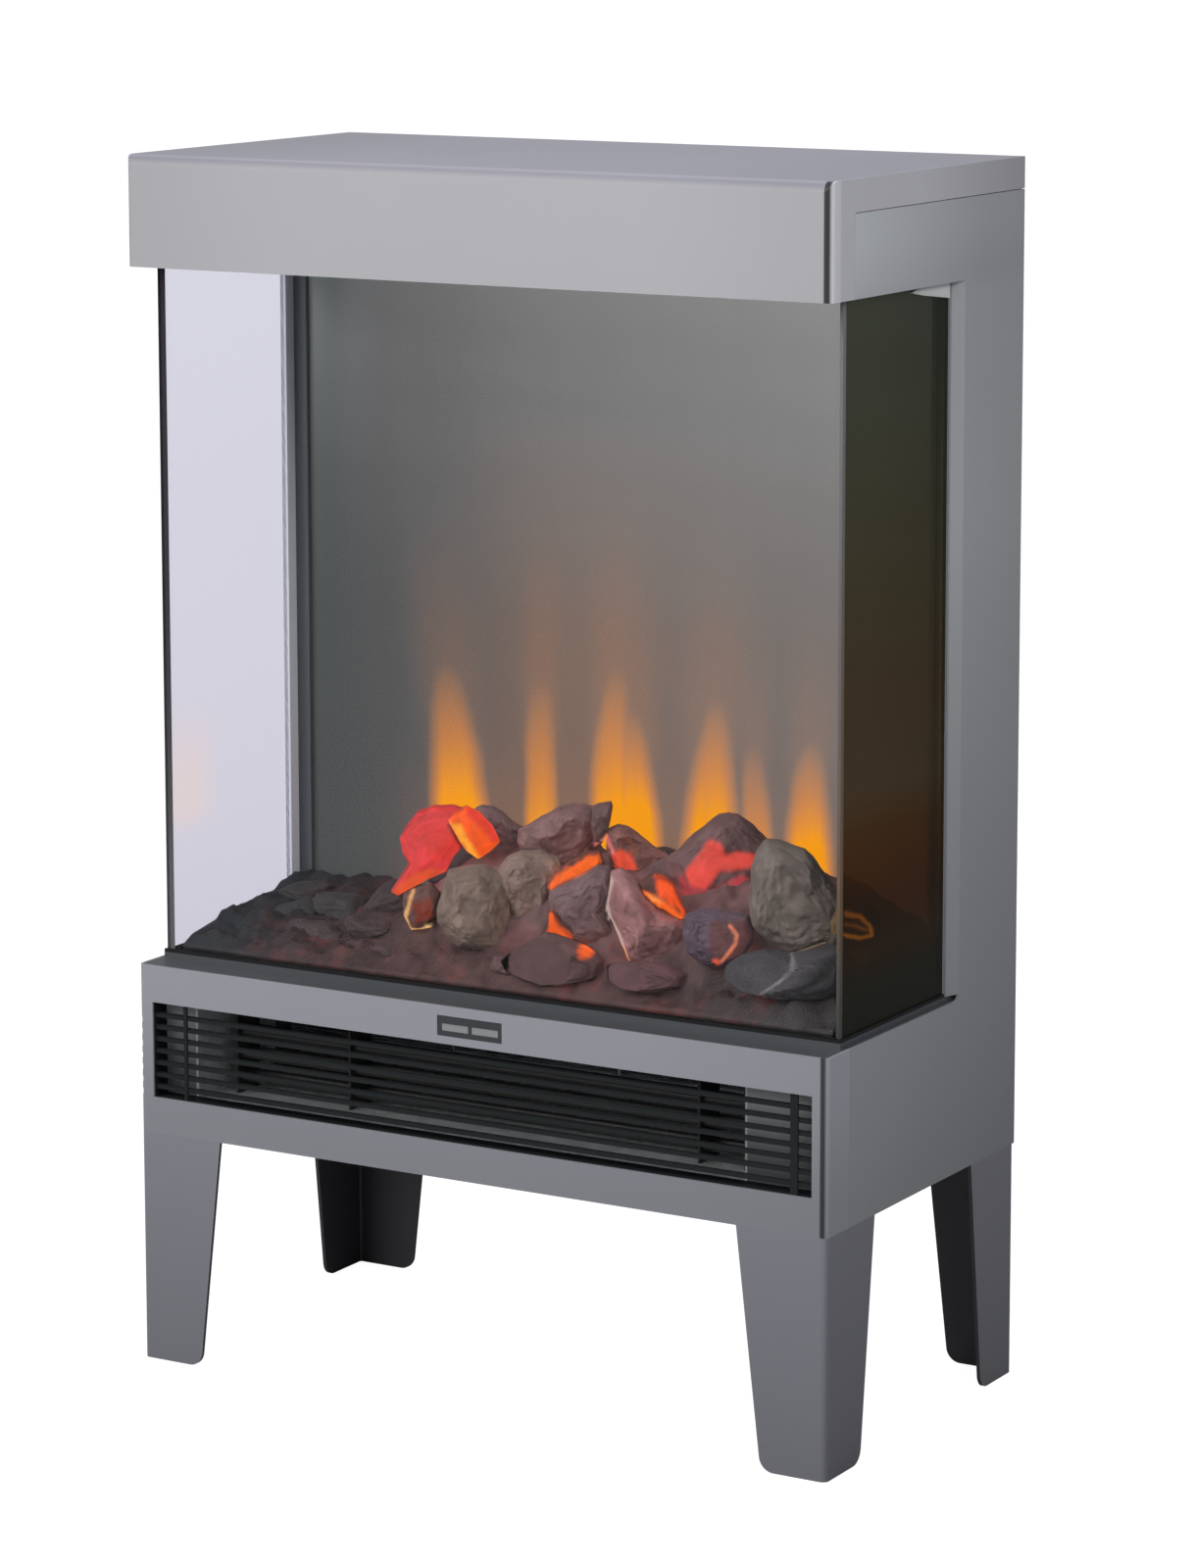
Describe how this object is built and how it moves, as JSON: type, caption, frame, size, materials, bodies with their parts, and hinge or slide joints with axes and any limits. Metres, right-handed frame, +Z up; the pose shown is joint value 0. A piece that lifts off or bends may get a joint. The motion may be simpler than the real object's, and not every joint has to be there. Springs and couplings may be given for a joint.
{
  "type": "electric fireplace",
  "caption": "Free-standing electric stove heater on sheet-metal legs, glazed on three sides, with a flame screen, glowing fuel bed and a fan outlet grille in the base.",
  "frame": {"origin": "centre of the footprint on the floor", "axes": "+X to the right seen from the front, -Y towards the front, +Z up"},
  "size_m": [0.404, 0.206, 0.63],
  "materials": {
    "bed_resin": "rough",
    "black_plastic": "matt",
    "black_seal": "matt",
    "bright_foil": "bright",
    "bronze": "turned",
    "bush_nylon": "satin",
    "circuit_board": "satin",
    "clear_glass": "polished",
    "coal_resin": "rough",
    "dark_paint": "satin",
    "galvanised_sheet": "dull zinc",
    "grey_paint": "satin",
    "grey_paint_top": "satin",
    "ivory_plastic": "satin",
    "lens_plastic": "gloss",
    "mica": "dull",
    "motor_steel": "plain",
    "red_plastic": "gloss",
    "screen_acrylic": "frosted",
    "screw_steel": "zinc plated",
    "smoked_glass": "polished"
  },
  "bodies": {
    "casing": {"top_cover": "grey_paint_top", "hood_liner": "dark_paint", "left_side_panel": "grey_paint", "right_side_panel": "grey_paint", "back_panel": "grey_paint", "base_front_panel": "grey_paint", "base_floor": "galvanised_sheet", "hearth_deck": "dark_paint", "outlet_grille": "black_plastic", "outlet_side_plates": "grey_paint", "indicator_bezel": "black_plastic", "indicator_lenses": "lens_plastic", "front_glass": "clear_glass", "left_glass": "clear_glass", "right_glass": "smoked_glass", "glass_foot_channel": "black_seal", "glass_head_channel": "black_seal", "rear_glass_seals": "black_seal", "flame_screen": "screen_acrylic", "screen_frame": "dark_paint", "screen_top_bracket": "galvanised_sheet", "fuel_bed": "bed_resin", "coals": "coal_resin", "ember_led_board": "circuit_board", "flame_led_board": "circuit_board", "flame_mask": "dark_paint", "spindle_brackets": "galvanised_sheet", "spindle_bushes": "bush_nylon", "spindle_motor": "motor_steel", "heater_duct": "galvanised_sheet", "heating_element": "mica", "thermal_cutout": "ivory_plastic", "fan_housing": "galvanised_sheet", "fan_bearing": "bronze", "fan_motor": "motor_steel", "control_plate": "black_plastic", "thermostat_body": "ivory_plastic", "switch_housings": "black_plastic", "control_board": "circuit_board", "terminal_block": "ivory_plastic", "cord_gland": "black_plastic", "gland_nut": "black_plastic", "front_left_leg": "grey_paint", "front_right_leg": "grey_paint", "rear_left_leg": "grey_paint", "rear_right_leg": "grey_paint", "leg_screws": "screw_steel", "casing_screws": "screw_steel", "cover_screws": "screw_steel"},
    "spindle": {"flame_spindle": "bright_foil"},
    "fan": {"fan_impeller": "bright_foil"},
    "knob": {"thermostat_knob": "black_plastic"},
    "flame_switch": {"flame_rocker": "red_plastic"},
    "low_heat_switch": {"low_heat_rocker": "black_plastic"},
    "high_heat_switch": {"high_heat_rocker": "black_plastic"}
  },
  "joints": [
    {"name": "spindle_spin", "type": "hinge", "parent": "casing", "child": "spindle", "pos_m": [0, 0.066, 0.242], "axis": [1, 0, 0], "continuous": true},
    {"name": "fan_spin", "type": "hinge", "parent": "casing", "child": "fan", "pos_m": [-0.012, 0, 0.16625], "axis": [1, 0, 0], "continuous": true},
    {"name": "thermostat_turn", "type": "hinge", "parent": "casing", "child": "knob", "pos_m": [-0.077, 0.0876, 0.169], "axis": [0, -1, 0], "range_deg": [0, 270]},
    {"name": "flame_switch_rock", "type": "hinge", "parent": "casing", "child": "flame_switch", "pos_m": [-0.14, 0.082, 0.169], "axis": [1, 0, 0], "range_deg": [-14, 0]},
    {"name": "low_heat_switch_rock", "type": "hinge", "parent": "casing", "child": "low_heat_switch", "pos_m": [-0.122, 0.082, 0.169], "axis": [1, 0, 0], "range_deg": [0, 14]},
    {"name": "high_heat_switch_rock", "type": "hinge", "parent": "casing", "child": "high_heat_switch", "pos_m": [-0.104, 0.082, 0.169], "axis": [1, 0, 0], "range_deg": [0, 14]}
  ]
}
